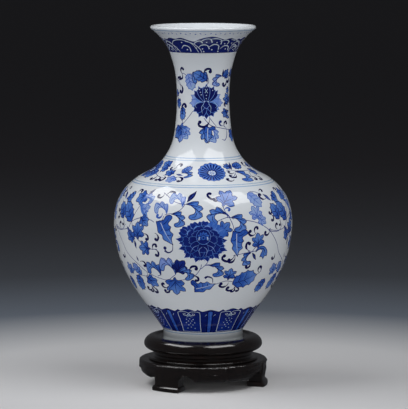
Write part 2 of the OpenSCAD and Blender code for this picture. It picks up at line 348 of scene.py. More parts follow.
def peony():
    # broad uneven petals in three turns round a pale heart, set high in the flower
    made = []
    squash = 0.88
    outer = (
        (2, 27.5, 13.5), (31, 29, 15), (58, 30, 14), (84, 27, 14), (112, 29, 13), (140, 27.5, 14),
        (168, 26, 13), (198, 27, 14), (226, 29, 13), (252, 28.5, 14), (278, 31, 13), (304, 30.5, 14),
        (332, 28, 14))
    for n, (angle, reach, width) in enumerate(outer):
        fill = (0.74, 0.52) if n in (1, 2) else (1.0, 0.84)
        made += turnedShapes(petal(reach, width, fill, 0.62, 0.36, "ragged" if 60 < angle < 300 else "lobed"),
                             angle, 0, 0, squash)
        bend = 1 if n % 2 else -1   # folds drawn along the petal
        for side, ink in ((1, 0.4), (-1.4, 0.62)):
            lean = bend * side
            fold = [(lean * 0.8, reach * 0.66), (lean * 2.6, reach * 0.8), (lean * 1.8, reach * 0.94)]
            made += turnedShapes([stroke(fold, (0.2, 0.7, 0.2), ink)], angle, 0, 0, squash)
    for angle, reach, width in (
            (16, 22, 14), (52, 21, 13), (88, 22.5, 12), (124, 21, 13), (162, 20, 12), (200, 21, 13),
            (238, 22, 12), (274, 23, 13), (310, 22, 13), (344, 21, 12)):
        made += turnedShapes(petal(reach, width, (1.0, 0.88), 0.48, 0.36, "lobed"), angle, 0, 0.6, squash)
    for angle in (-52, -20, 14, 46):   # upper petals curl back and show their pale insides
        curl = stroke([(-3.8, 18.2), (-1.4, 20.6), (1.6, 20.8), (4.2, 18.6)], (0.2, 1.5, 1.3, 0.2), 0.42)
        made += turnedShapes([curl], angle, 0, 0.4, squash)
    for angle, reach, width in (
            (35, 15.5, 11), (80, 16, 10), (-38, 15.5, 11), (-84, 16, 10), (130, 15, 11), (-128, 15.5, 11),
            (180, 15, 12)):
        made += turnedShapes(petal(reach, width, (1.0, 0.9), 0.44, 0.36, "lobed"), angle, 0, 1.6, squash)
    made += [dot(0.4, 6.4, 8.0, 0.46, 20, 1.08), dot(0.4, 6.4, 7.5, 0.92, 20, 1.08)]
    for angle in (-66, -33, 0, 33, 66, 100, -100):   # small petals round the heart
        made += turnedShapes(petal(7.4, 4.4, (0.78, 0.56), 0.98, 0.3, "pointed"), angle, 0.4, 5.6, 1.0)
    made += [dot(0.4, 5.4, 3.1, 0.98, 14), dot(0.4, 5.4, 2.5, 0.62, 14), dot(0.4, 5.4, 1.1, 0.98, 9)]
    for side in (-1, 1):
        made += [stroke([(side * 5.0 + 0.4, 2.6), (side * 4.2 + 0.4, 6.4)], (0.7, 1.3), 0.1),
                 stroke([(side * 1.0, -4.6), (side * 4.4, -8.5), (side * 3.0, -15.5)], (0.3, 0.6, 0.2), 0.26),
                 stroke([(side * 5.6, -3.0), (side * 10.4, -5.4), (side * 13.6, -11.0)],
                        (0.3, 0.6, 0.2), 0.3)]
    return made


def lotus():
    made = []
    for angle, reach in ((62, 20), (92, 22), (118, 18), (-64, 20), (-92, 20)):
        made += turnedShapes(petal(reach, 9.5, (0.5, 0.24), 0.66, 0.45), angle, 0, 0, 0.98)
    for angle, reach in ((180, 18.5), (152, 18), (-152, 18.5), (128, 17), (-124, 18)):
        made += turnedShapes(petal(reach, 10.5, (1.0, 0.93), 0.45, 0.45), angle)
    for angle, reach in ((-46, 20), (46, 20), (-26, 21), (26, 21), (0, 21.5)):
        made += turnedShapes(petal(reach, 8.8, (1.0, 0.94), 0.36, 0.45), angle)
    made += turnedShapes(petal(9, 8, (0.98, 0.9), 0.3, 0.4, "pointed"), 180, 0, 2)
    made += [stroke([(-1.6, 10.6), (1.6, 15.4)], (0.55, 0.55), 0.1),
             stroke([(1.6, 10.6), (-1.6, 15.4)], (0.55, 0.55), 0.1)]
    for x, y in (
            (0, 17.6), (0, 8.2), (-7.6, 14.6), (-6.6, 11.6), (-5.6, 8.8), (7.2, 13.6), (0, 4.6),
            (-2.2, 1.4), (2.2, 1.4)):
        made.append(dot(x, y, 0.62, 0.08, 8))
    for side in (-1, 1):
        made += [stroke([(side * 2.4, -1), (side * 5.2, -5), (side * 4.4, -12)], (0.3, 0.6, 0.2), 0.12),
                 stroke([(side * 4, 1), (side * 9, 0.6), (side * 12.4, -3.4), (side * 10.6, -6)],
                        (0.3, 0.6, 0.3), 0.16)]
    return made


def chrysanthemum():
    made = []
    turns = [(15.4 * (1 + 0.035 * math.cos(16 * a)), a) for a in np.linspace(0, 2 * math.pi, 97)[:-1]]
    rim = [(r * math.cos(a), r * math.sin(a)) for r, a in turns]
    made += [(rim, 0.84, 0.84, None, None), (inset(rim, 0.6), 0.56, 0.56, None, None)]
    for k in range(22):
        made += turnedShapes([stroke([(0, 5.4), (0, 13.4)], (0.9, 2.0), 0.95)], 360 * k / 22)
        made += turnedShapes([stroke([(0, 9.0), (0, 14.2)], (0.3, 0.9), 0.42)], 360 * (k + 0.5) / 22)
    made += [dot(0, 0, 5.6, 0.97, 20), dot(0, 0, 4.4, 0.5, 18)]
    for k in range(8):
        a = 2 * math.pi * k / 8
        made.append(dot(3.2 * math.cos(a), 3.2 * math.sin(a), 1.12, 0.03, 8))
    return made + [dot(0, 0, 1.5, 0.04, 9), dot(0, 0, 0.75, 0.92, 8)]


def lappet():
    # one panel of the foot band: a white-lined trapezoid with a forked cloud and dots
    outline = [
        (-12.9, 11), (-11.8, 13.9), (-7, 14.8), (-2.8, 14.4), (0, 12.6, 1), (2.8, 14.4), (7, 14.8),
        (11.8, 13.9), (12.9, 11), (11.3, -2), (10.2, -15.6, 1), (-10.2, -15.6, 1), (-11.3, -2)]
    points = thinned(smooth(outline, True, 4))
    made = [(points, 0.06, 0.06, None, None), (inset(points, 0.62), 0.95, 0.78, (0, 14), (0, -16))]
    for side in (-1, 1):
        made += [stroke([(side * 0.2, 11.6), (side * 2.6, 8.8), (side * 5.6, 9.2), (side * 6.6, 11.2),
                         (side * 4.8, 12.0)],
                        (0.6, 0.8, 0.7, 0.5), 0.06),
                 dot(side * 4.4, 11.0, 0.72, 0.05, 8),
                 stroke([(side * 0.4, 11.4), (side * 1.4, 7.6), (side * 3.4, 6.2)], (0.6, 0.7, 0.3), 0.12)]
    for x, y in (
            (0, 8.2), (-3.8, 2.8), (3.8, 2.8), (0, 3.8), (-2.0, 0.4), (2.0, 0.4), (-4.8, -2.2),
            (4.8, -2.2), (0, -2.8), (-2.4, -5.4), (2.4, -5.4), (0, -8.6), (-4.2, -10.4), (4.2, -10.4)):
        made.append(dot(x, y, 0.66, 0.1, 8))
    return made


# the foot band: dark ground with a waved top edge, and a bar between the panels
footBand = Band("foot", 12, 43, 8, 3.0)
footBand.area([
    (-60, 12.2, 1), (-52.5, 39.0), (-46, 38.2), (-41, 39.6), (-37.5, 40.4), (-34, 39.6), (-29, 38.2),
    (-22, 39.0), (-15, 41.2), (-8, 39.0), (-1, 38.2), (4, 39.6), (7.5, 40.4), (11, 39.6), (16, 38.2),
    (22, 39.0), (30, 12.2, 1)], 0.93)
for azimuth in (-37.5, 7.5):
    footBand.lay([stroke([(0, 13.2), (0, -16.2)], (7.2, 5.4), 1.0), dot(0, 13.0, 3.7, 1.0, 14)], azimuth, 26)
    footBand.lay([stroke([(0, 12.6), (0, -16.2)], (4.8, 3.0), 0.66), dot(0, 12.6, 2.45, 0.62, 14)],
                 azimuth, 26)
    footBand.lay([stroke([(0.6, 12.6), (0.4, -2)], (1.0, 0.5), 0.5)], azimuth, 26)
footBand.lay(lappet(), -15, 26)
for azimuth in (-33, 3):
    footBand.lay([stroke([(-0.9, -1.2), (0.9, 1.2)], (0.3, 0.8), 0.12)], azimuth, 33.5)

# the belly: a running peony scroll, three times round
bellyBand = Band("belly", 53, 176, 3, 6.0)
for places in (
        [(3, 97), (1, 93), (-2, 89)], [(9, 142), (13, 145), (17, 146), (26, 143), (34, 140), (40, 136),
        (46, 130), (51, 122), (56, 112), (60, 102),
         (69, 92), (77, 83), (87, 77), (95, 75), (104, 76), (113, 80), (118, 89), (119, 96)],
        [(46, 129), (51, 127), (57, 127.5), (61, 134)],
        [(-74, 130), (-67, 128), (-61, 128), (-55, 131), (-52, 138), (-44, 143), (-36, 142), (-32, 139)],
        [(-52, 138), (-50, 146), (-46, 158), (-45, 167)], [(-61, 134), (-62, 145), (-61, 156), (-57, 166)],
        [(17, 146), (19, 138), (20, 130)], [(16, 146), (14, 154), (13, 160)], [(20, 144), (18, 146)],
        [(8, 71), (12, 73), (17, 75), (24, 73)], [(-12, 160), (-15, 154), (-20, 150)],
        [(-26, 147), (-27, 142), (-30, 140)], [(-20, 150), (-24, 149), (-26, 147)],
        [(-30, 171), (-26, 168), (-22, 164), (-17, 161), (-12, 160)],
        [(-52, 138), (-50, 128), (-47, 120), (-42, 115), (-37, 110), (-31, 110)],
        [(40, 136), (40, 140), (38, 143)], [(38, 110.5), (36, 112), (33, 107), (30, 108)],
        [(40, 111), (38, 108), (33, 107), (24, 105), (20, 104)], [(-43, 83), (-44, 78), (-52, 78)],
        [(-20, 76), (-24, 69), (-28, 67)], [(46, 130), (48, 131)], [(-34, 79), (-31, 81)],
        [(-25, 76), (-19, 83)], [(13, 168), (10, 168), (8, 166)],
        [(33, 166), (36, 171), (41, 171), (46, 168)]):
    bellyBand.line(places)
for places, widths, ink in (
        ([(17.5, 146), (15, 150), (12, 152)], (0.8, 2.2, 3.0), 0.75),
        ([(1, 93.5), (4, 94), (8, 92)], (0.6, 1.6, 3.0), 0.8),
        ([(7, 73.5), (6.5, 78.5), (3, 80.5), (0.8, 78)], (0.8, 1.2, 2.2, 3.0), 0.96),
        ([(-19.5, 116), (-20, 109.5), (-23, 107), (-26, 110)], (0.6, 0.9, 1.6, 2.4), 0.94),
        ([(41, 80), (44, 83), (44, 88)], (0.6, 0.9, 1.4), 0.92)):
    bellyBand.line(places, widths, ink)
bellyBand.lay([dot(0, 0, 2.0, 0.96)], -25, 112)
for kind, tone, *places in (
        ("ivy", "blue", (10, 128), (17, 141)), ("feather", "blue", (-62, 160), (-58, 170)),
        ("comma", "navy", (-55, 168), (-51, 172)), ("comma", "navy", (-62, 152), (-64, 147)),
        ("comma", "navy", (-62, 145), (-64, 140)), ("comma", "navy", (-62, 138), (-62, 132)),
        ("leaf", "blue", (-43, 168), (-53, 160)), ("blade", "navy", (-43, 167), (-39, 174)),
        ("palmette", "pale", (-46, 160), (-40, 169), (-37, 162)), ("blade", "pale", (-47, 160), (-37, 142)),
        ("leaf", "pale", (-44, 152), (-37, 156)), ("feather", "blue", (-52, 138), (-62, 159)),
        ("comma", "navy", (-27, 168), (-21, 172)), ("comma", "navy", (-29, 170), (-34, 166)),
        ("palmette", "pale", (-24, 149), (-29, 162), (-33, 154)), ("comma", "pale", (-27, 150), (-31, 145)),
        ("palmette", "pale", (-14, 157), (-17, 171), (-20, 159)), ("blade", "navy", (-11, 162), (-5, 174)),
        ("palmette", "blue", (-12, 160), (0, 156), (-8.5, 149)),
        ("palmette", "blue", (-21, 149), (-11.5, 146), (-18, 140)),
        ("longLeaf", "blue", (-29, 142), (-19.5, 115)), ("leaf", "blue", (-44, 144), (-37, 135)),
        ("comma", "navy", (-32, 128), (-30, 119.5)), ("comma", "navy", (-41, 126), (-37, 120)),
        ("ivy", "blue", (-46, 119), (-46, 139)), ("leaf", "blue", (-49, 119), (-57, 125)),
        ("blade", "blue", (-57, 132), (-52, 122)), ("blade", "navy", (-49.5, 118), (-48.5, 108)),
        ("ivy", "blue", (-36, 110), (-46, 110)), ("comma", "navy", (-34, 109), (-31.5, 116)),
        ("comma", "navy", (-33, 110), (-30.5, 102)), ("blade", "navy", (-48.5, 94), (-50, 100)),
        ("comma", "navy", (-47, 94), (-42, 90)), ("palmette", "blue", (-31, 80), (-36, 96), (-40, 86)),
        ("palmette", "light", (-19.5, 82), (-23, 101), (-27, 92)), ("leaf", "navy", (-19, 85), (-12, 99)),
        ("palmette", "blue", (-18, 85), (-8, 88), (-11, 81)), ("comma", "navy", (-9, 84), (-4.5, 93)),
        ("feather", "light", (-49, 79), (-57, 91)), ("feather", "blue", (-53, 78), (-58, 59)),
        ("leaf", "blue", (-45, 77), (-36, 67)), ("ivy", "blue", (-20.5, 79), (-21.5, 58)),
        ("comma", "navy", (-27, 67), (-33, 70)), ("comma", "navy", (-27, 67), (-31, 60)),
        ("comma", "navy", (-43, 66), (-49, 62)), ("comma", "navy", (-44, 65), (-39, 59)),
        ("comma", "navy", (-44, 66), (-45, 59)), ("comma", "navy", (-8, 81), (-3, 76)),
        ("longLeaf", "blue", (-7, 65), (10, 72)), ("comma", "navy", (12, 168), (2.5, 169.5)),
        ("comma", "navy", (11, 167), (7, 164)), ("ivy", "light", (13, 158), (20.5, 174)),
        ("comma", "pale", (14, 154), (18, 155)), ("palmette", "blue", (15, 149), (4.5, 154), (10, 146)),
        ("palmette", "blue", (18, 146), (28.5, 141), (24, 133)),
        ("longLeaf", "blue", (21, 131), (22.5, 102)), ("feather", "pale", (34, 170), (43, 155)),
        ("comma", "navy", (50, 164), (43, 167)), ("comma", "navy", (46, 171), (50, 172)),
        ("blade", "blue", (48, 168), (54, 160)), ("leaf", "blue", (56, 166), (62, 158)),
        ("ivy", "pale", (38, 142), (34, 157)), ("leaf", "pale", (38, 144), (44, 137)),
        ("feather", "blue", (58, 140), (51, 158)), ("comma", "navy", (50, 153), (48.5, 146)),
        ("comma", "navy", (49, 146), (51, 138.5)), ("comma", "navy", (55, 129), (53.5, 136)),
        ("comma", "navy", (35.5, 128), (29.5, 128)), ("comma", "navy", (35, 127), (36, 135)),
        ("comma", "navy", (47, 130), (42.5, 124.5)), ("ivy", "blue", (38, 110.5), (36.5, 128)),
        ("comma", "navy", (32, 108), (29, 118)), ("palmette", "blue", (33, 106), (26, 98), (32, 97)),
        ("blade", "navy", (33.5, 106), (37.5, 97)), ("cLeaf", "blue", (36, 106), (45.5, 103)),
        ("comma", "navy", (55, 102), (53, 95)), ("comma", "navy", (32, 97), (31, 88)),
        ("comma", "navy", (21, 105), (12, 100)), ("comma", "navy", (21, 104), (17, 96)),
        ("palmette", "blue", (4, 93.5), (14, 90), (8, 84)), ("ivy", "blue", (18, 76), (19.5, 90)),
        ("feather", "blue", (22, 71), (42, 81)), ("comma", "navy", (43, 82), (42.5, 90)),
        ("comma", "navy", (19, 73), (12, 69)), ("comma", "navy", (25, 69), (18, 64)),
        ("comma", "navy", (24, 68), (23, 61)), ("comma", "navy", (25, 67), (28.5, 62)),
        ("leaf", "light", (60, 78), (56, 91)), ("feather", "blue", (52, 74), (47, 58))):
    bellyBand.grow(kind, tone, *places)
bellyBand.lay(peony(), 0, 119)

# the shoulder: four round flowers with two kinds of spray between them
shoulderBand = Band("shoulder", 180.3, 201.8, 2, 3.0)
for places in (
        [(27, 192), (33, 193), (42, 192), (59, 191), (70, 192)], [(38, 190), (33, 187), (29, 186)],
        [(54, 184), (58, 188), (64, 191)],
        [(-66, 193), (-58, 188), (-50, 186), (-42, 185), (-36, 186), (-30, 187)],
        [(-44, 187), (-40, 192), (-35, 196)], [(-30, 187), (-27, 185), (-24, 183)],
        [(-56, 187), (-53, 192), (-49, 196)]):
    shoulderBand.line(places, (0.7, 0.6), 0.84)
for kind, tone, *places in (
        ("leaf", "blue", (37, 197), (26, 196)), ("blade", "navy", (36, 193), (39, 201)),
        ("feather", "blue", (40, 196), (59, 197)), ("comma", "navy", (36, 190), (29, 191)),
        ("comma", "navy", (37, 189), (28, 186)), ("comma", "navy", (30, 184), (22, 184)),
        ("palmette", "blue", (38, 191), (55, 186), (41, 183)), ("leaf", "blue", (73, 192), (65, 186)),
        ("comma", "navy", (69, 195), (64, 199)), ("comma", "navy", (52, 186), (57, 182)),
        ("comma", "navy", (60, 186), (64, 181)), ("ivy", "blue", (74, 193), (80, 199)),
        ("palmette", "blue", (-25, 190), (-12, 191), (-17, 184)),
        ("feather", "light", (-25, 191), (-14, 197)), ("comma", "navy", (-37, 194), (-44, 194)),
        ("comma", "navy", (-36, 196), (-29, 199)), ("leaf", "blue", (-33, 189), (-46, 191)),
        ("blade", "blue", (-30, 189), (-21, 188)), ("leaf", "pale", (-27, 186), (-36, 182)),
        ("comma", "navy", (-29, 186), (-19, 183)), ("comma", "navy", (-53, 187), (-54, 182)),
        ("comma", "navy", (-49, 186), (-45, 182)), ("feather", "blue", (-60, 191), (-72, 183)),
        ("leaf", "blue", (-50, 196), (-57, 190)), ("leaf", "blue", (-47, 196), (-65, 199)),
        ("comma", "navy", (-44, 187), (-40, 182))):
    shoulderBand.grow(kind, tone, *places)
for azimuth in (-80, 10):
    shoulderBand.lay(turnedShapes(chrysanthemum(), 0, 0, 0, 0.98), azimuth, 190.6)

# the neck: one upright flower on each side, with a vine between
neckBand = Band("neck", 217, 308, 2, 4.2)
for places in (
        [(-37, 296), (-43, 298), (-49, 298)], [(8, 286), (12, 289), (10, 294), (4, 297)],
        [(-33, 297), (-26, 298), (-20, 296)],
        [(88, 300), (80, 292), (72, 282), (74, 272), (70, 262), (72, 252), (76, 242), (84, 236)],
        [(-96, 236), (-82, 234), (-70, 237), (-48, 242), (-34, 249), (-22, 257)],
        [(2, 249), (8, 245), (16, 241), (36, 238), (68, 235), (84, 236)], [(13, 250), (20, 245), (28, 240)],
        [(-48, 242), (-49, 246)], [(9, 239), (11, 243)], [(-66, 290), (-58, 286), (-62, 278), (-70, 270)],
        [(70, 262), (60, 264), (54, 262)], [(48, 250), (60, 249), (72, 252)]):
    neckBand.line(places, (0.75, 0.65), 0.86)
neckBand.line([(46, 240), (55, 237), (54, 229), (46, 224), (38, 226)], (0.5, 0.9, 1.1, 0.6), 0.8)
for kind, tone, *places in (
        ("comma", "navy", (-47, 297), (-46, 305)), ("comma", "navy", (-49, 299), (-55, 291)),
        ("feather", "pale", (-33, 298), (-23, 279)), ("palmette", "blue", (9, 288), (-9, 302), (-14, 289)),
        ("feather", "blue", (8, 291), (-22, 300)), ("comma", "navy", (2, 295), (15, 304)),
        ("palmette", "light", (44, 295), (20, 292), (26, 283)), ("blade", "navy", (46, 293), (44, 303)),
        ("leaf", "blue", (52, 292), (60, 303)), ("ivy", "blue", (68, 263), (57, 276)),
        ("ivy", "blue", (62, 258), (48, 249)), ("comma", "navy", (62, 296), (68, 287)),
        ("blade", "blue", (70, 291), (72, 304)), ("leaf", "blue", (80, 292), (88, 304)),
        ("comma", "navy", (56, 293), (50, 283)), ("leaf", "blue", (72, 282), (60, 276)),
        ("leaf", "blue", (74, 272), (84, 264)), ("palmette", "blue", (74, 256), (58, 252), (66, 243)),
        ("comma", "navy", (62, 262), (52, 264)), ("leaf", "blue", (70, 264), (58, 270)),
        ("comma", "navy", (-66, 286), (-60, 294)), ("comma", "navy", (-62, 286), (-52, 276)),
        ("leaf", "blue", (-70, 272), (-80, 280)), ("leaf", "blue", (-70, 270), (-64, 258)),
        ("feather", "blue", (-50, 261), (-50, 245)), ("comma", "navy", (-48, 253), (-45, 265)),
        ("comma", "navy", (14, 249), (-10, 240)), ("ivy", "light", (-49, 243), (-50, 221)),
        ("palmette", "pale", (-44, 239), (-26, 231), (-36, 222)), ("leaf", "blue", (-52, 238), (-72, 226)),
        ("palmette", "blue", (8, 240), (-4, 226), (14, 222)),
        ("palmette", "pale", (16, 238), (32, 227), (14, 221)), ("longLeaf", "blue", (9, 240), (9, 221)),
        ("comma", "navy", (50, 238), (57, 245)), ("comma", "light", (46, 240), (36, 245)),
        ("leaf", "blue", (77, 236), (70, 221)), ("comma", "navy", (86, 236), (84, 226))):
    neckBand.grow(kind, tone, *places)
neckBand.lay(lotus(), 7, 266)

# the rim: breaking waves on a dark ground, three times round
rimBand = Band("rim", 319, 345, 3, 1.9)
rimBand.area([
    (-66, 321.2, 1), (-66, 336), (-58, 336), (-50, 338), (-40, 337), (-30, 338.4), (-20, 335.6),
    (-12, 334.4), (-5, 337), (5, 339.2), (12, 340), (20, 338.8), (30, 336.4), (40, 337.8), (50, 336),
    (62, 336), (70, 338), (76, 336, 1), (76, 321.2, 1)], 0.93)
for places in (
        [(-52, 331), (-44, 335), (-30, 336), (-17, 332), (-7, 322)],
        [(-26, 334.6), (-15, 332), (-5, 326), (-2, 321.6)],
        [(-78, 336), (-64, 334.6), (-50, 329), (-40, 321.6)], [(-72, 330), (-60, 329), (-50, 321.6)],
        [(46, 322), (50, 330), (57, 333.4), (66, 332), (72, 323)]):
    rimBand.line(places, (0.7, 1.1, 1.0, 0.7), 0.04)
for places in ([(-14, 331), (-10, 334), (-4, 335), (0, 332)], [(-4, 334), (3, 337), (10, 337), (13, 333)],
               [(10, 337), (18, 337.6), (26, 335.6), (27, 331)],
               [(24, 334), (32, 335.8), (39, 334), (38, 330)],
               [(-8, 327), (-2, 330.4), (6, 330), (10, 326)],
               [(8, 327.6), (16, 331), (24, 329.6), (25, 325)],
               [(28, 326), (34, 329.4), (42, 328.4), (44, 324)],
               [(50, 325), (56, 328.4), (62, 326.6), (61, 323)],
               [(-36, 326), (-30, 329.6), (-22, 328), (-20, 323)]):
    rimBand.line(places, (0.5, 1.5, 1.1, 1.7), 0.05)
for azimuth, height in (
        (-11, 327), (-1, 326), (5, 333.4), (14, 325), (20, 333), (33, 331.6), (38, 325.6), (46, 332),
        (57, 324.6), (64, 328), (-26, 325), (-32, 333), (-45, 325), (1, 323), (25, 323), (48, 335)):
    rimBand.lay([dot(0, 0, 0.85, 0.05, 8)], azimuth, height)
for k in range(20):
    slant = 0.8 * (k % 3 - 1)
    tick = stroke([(-slant, -0.7), (slant, 0.7)], (1.0, 1.2), 0.62)
    rimBand.lay([tick], -57 + 6 * k, 342.6 + 0.7 * (k % 2))
bands = [footBand, bellyBand, shoulderBand, neckBand, rimBand]


def flatPanel(band):
    # one repeat of a band cut into triangles along its brush strokes, with the ink at each corner
    half, columns = band.period / 2, vaseShape["columns"] // band.repeats
    rows = max(2, round((band.high - band.low) / band.rowGap))
    xs = [-half + band.period * i / columns for i in range(columns + 1)]
    ys = [band.low + (band.high - band.low) * j / rows for j in range(rows + 1)]
    edge = [(x, ys[0]) for x in xs] + [(half, y) for y in ys[1:-1]]
    edge += [(x, ys[-1]) for x in xs[::-1]] + [(-half, y) for y in ys[-2:0:-1]]
    points = edge + [(x, y) for x in xs[1:-1] for y in ys[1:-1]]
    lines = [(i, (i + 1) % len(edge)) for i in range(len(edge))]
    paint = []
    for shape in band.shapes:
        across = [p[0] for p in shape[0]]
        for k in range(-2, 3):
            shift = k * band.period
            if min(across) + shift < half and max(across) + shift > -half:
                first, count = len(points), len(shape[0])
                lines += [(first + i, first + (i + 1) % count) for i in range(count)]
                points += [(x + shift, y) for x, y in shape[0]]
                paint.append((shape, shift))
    places, _, cut, _, _, _ = delaunay_2d_cdt([Vector(p) for p in points], lines, [], 0, 0.004, False)
    flat = np.array([p[:2] for p in places])
    corners = np.array(cut)
    centres = flat[corners].mean(axis=1)
    inside = (abs(centres[:, 0]) < half) & (centres[:, 1] > band.low) & (centres[:, 1] < band.high)
    corners, centres = corners[inside], centres[inside]
    owner = np.full(len(corners), -1)
    for n, (shape, shift) in enumerate(paint):   # later strokes lie over earlier ones
        owner[insideShape(centres, np.array(shape[0]) + (shift, 0))] = n
    inks = [[inkAt(paint[n] if n >= 0 else None, places[c]) for c in triangle]
            for n, triangle in zip(owner, corners)]
    return places, [tuple(t) for t in corners.tolist()], inks


def insideShape(centres, outline):
    # which centres lie inside a closed outline, by its winding
    low, high = outline.min(0), outline.max(0)
    near = np.nonzero(((centres > low) & (centres < high)).all(axis=1))[0]
    px, py = centres[near, 0][:, None], centres[near, 1][:, None]
    ax, ay = outline[:, 0], outline[:, 1]
    bx, by = np.roll(ax, -1), np.roll(ay, -1)
    side = (bx - ax) * (py - ay) - (px - ax) * (by - ay)
    winding = ((ay <= py) & (by > py) & (side > 0)).sum(1) - ((ay > py) & (by <= py) & (side < 0)).sum(1)
    return near[winding != 0]


def inkAt(top, place):
    if top is None:
        return 0.0
    (_, start, end, a, b), shift = top
    if a is None:
        return start
    dx, dy = b[0] - a[0], b[1] - a[1]
    t = ((place[0] - shift - a[0]) * dx + (place[1] - a[1]) * dy) / (dx * dx + dy * dy + 1e-9)
    return start + (end - start) * min(max(t, 0.0), 1.0)


def onWall(azimuth, length):
    # azimuth in radians, from the front and to the right
    height, radius = float(np.interp(length, wallLength, wallHeight)), radiusAt(length) / 1000
    return radius * math.sin(azimuth), -radius * math.cos(azimuth), (height + vaseShape["foot"]) / 1000


def paintedWall():
    # every band repeated round the wall, with plain and ringed strips between them
    places, faces, inks = [], [], []
    for band in bands:
        flat, triangles, panelInks = flatPanel(band)
        for k in range(band.repeats):
            first = len(places)
            places += [onWall(p[0] / band.radius + 2 * math.pi * k / band.repeats, p[1]) for p in flat]
            faces += [tuple(first + c for c in t) for t in triangles]
            inks += panelInks
        print("painted", band.name, len(triangles) * band.repeats, "triangles")
    columns = vaseShape["columns"]
    for levels in plainStrips:
        for (low, ink), (high, _) in zip(levels, levels[1:]):
            first = len(places)
            for height in (low, high):
                places += [onWall(2 * math.pi * i / columns, up(height)) for i in range(columns)]
            for i in range(columns):
                j = (i + 1) % columns
                faces.append((first + i, first + j, first + columns + j, first + columns + i))
                inks.append([ink] * 4)
    mesh = bpy.data.meshes.new("vaseWall")
    mesh.from_pydata(places, [], faces)
    layer = mesh.attributes.new("cobalt", "FLOAT", "CORNER")
    layer.data.foreach_set("value", np.array([i for corner in inks for i in corner], np.float32))
    wall = bpy.data.objects.new("vaseWall", mesh)
    bpy.context.scene.collection.objects.link(wall)
    return wall


lipStart = outside[-1][0]
# heights from which each strip starts, with its ink
plainStrips = [
    [(0.8, 0), (4.5, 0), (9.3, 0), (9.7, 0.13), (10.7, 0.02), (12, 0)],
    [(43, 0), (46, 0), (49.5, 0), (53, 0)],
    [(176, 0), (176.5, 0.14), (177.4, 0), (178.6, 0.12), (179.4, 0), (180.3, 0)],
    [(201.8, 0), (202.6, 0.12), (203.4, 0), (204.9, 0.14), (205.9, 0), (209, 0), (213, 0), (217, 0)],
    [(308, 0), (311, 0), (315, 0), (319, 0)],
    [(345, 0), (345.5, 0.14), (346.3, 0.03), (lipStart, 0)],
]


def selectOnly(piece):
    bpy.ops.object.select_all(action="DESELECT")
    piece.select_set(True)
    bpy.context.view_layer.objects.active = piece


def spun(name, profile, steps):
    # turns a profile of (radius, height) in millimetres round the Z axis; an end on the axis becomes a pole
    mesh = bpy.data.meshes.new(name)
    edges = [(i, i + 1) for i in range(len(profile) - 1)]
    mesh.from_pydata([(0, -r / 1000, z / 1000) for r, z in profile], edges, [])
    piece = bpy.data.objects.new(name, mesh)
    bpy.context.scene.collection.objects.link(piece)
    selectOnly(piece)
    bpy.ops.object.mode_set(mode="EDIT")
    bpy.ops.mesh.select_all(action="SELECT")
    bpy.ops.mesh.spin(steps=steps, angle=2 * math.pi, center=(0, 0, 0), axis=(0, 0, 1))
    bpy.ops.mesh.select_all(action="SELECT")
    bpy.ops.mesh.remove_doubles(threshold=0.00001)
    bpy.ops.mesh.normals_make_consistent(inside=False)
    bpy.ops.object.mode_set(mode="OBJECT")
    return piece


def oval(centre, across, tall, start, end, steps):
    # part of an oval, between two angles in degrees
    angles = [math.radians(start + (end - start) * k / steps) for k in range(steps + 1)]
    return [(centre[0] + across * math.cos(a), centre[1] + tall * math.sin(a)) for a in angles]


def arc(centre, radius, start, end, steps):
    return oval(centre, radius, radius, start, end, steps)


def insideOfVase():
    # over the lip, down the inner wall and across the floor
    v = vaseShape
    heights, radii = list(wallHeight), list(wallRadius)
    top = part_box("vase")[1].z * 1000 - v["foot"]
    lipCentre = (radii[-1] - v["lipRadius"] * math.cos(math.radians(42)), top - v["lipRadius"])
    profile = [(radii[-1], heights[-1])] + arc(lipCentre, v["lipRadius"], -42, 138, 14)[1:]
    inner = []
    for i in range(len(heights) - 2, 0, -3):
        du, dv = radii[i + 1] - radii[i - 1], heights[i + 1] - heights[i - 1]
        size = math.hypot(du, dv)
        place = (radii[i] - v["wall"] * dv / size, heights[i] + v["wall"] * du / size)
        if v["floorHeight"] + 3 < place[1] < profile[-1][1] - 0.8:
            inner.append(place)
    low = v["footInside"]
    bottom = v["floorHeight"]
    profile += inner + [(low + 0.3, bottom + 1.6), (low - 2.2, bottom + 0.3), (low - 6, bottom),
                        (18, bottom), (0, bottom)]
    return [(r, h + v["foot"]) for r, h in profile]


def undersideOfVase():
    v = vaseShape
    foot, edge = outside[0][1], v["footRounding"]
    outer = radiusAt(up(0.8))
    profile = [(0, v["hollowHeight"]), (18, v["hollowHeight"]), (v["footInside"] - 1.6, v["hollowHeight"]),
               (v["footInside"] - 0.5, v["hollowHeight"] - 0.6), (v["footInside"], v["hollowHeight"] - 1.8),
               (v["footInside"], 0.5), (v["footInside"] + 0.5, 0)]
    profile += [(v["footInside"] + 3.4, 0)] + arc((outer - edge, edge), edge, -90, 0, 4)
    return [(r, h + v["foot"]) for r, h in profile]


def closeUp(pieces, name):
    # joins open shells into one closed piece
    selectOnly(pieces[0])
    for piece in pieces[1:]:
        piece.select_set(True)
    bpy.ops.object.join()
    bpy.ops.object.mode_set(mode="EDIT")
    bpy.ops.mesh.select_all(action="SELECT")
    bpy.ops.mesh.remove_doubles(threshold=0.000012)
    bpy.ops.mesh.dissolve_degenerate(threshold=0.000001)
    bpy.ops.mesh.select_all(action="SELECT")
    bpy.ops.mesh.normals_make_consistent(inside=False)
    bpy.ops.object.mode_set(mode="OBJECT")
    pieces[0].name = pieces[0].data.name = name
    return pieces[0]


def openEdges(piece):
    shape = bmesh.new()
    shape.from_mesh(piece.data)
    found = sum(1 for e in shape.edges if not e.is_manifold)
    shape.free()
    return found


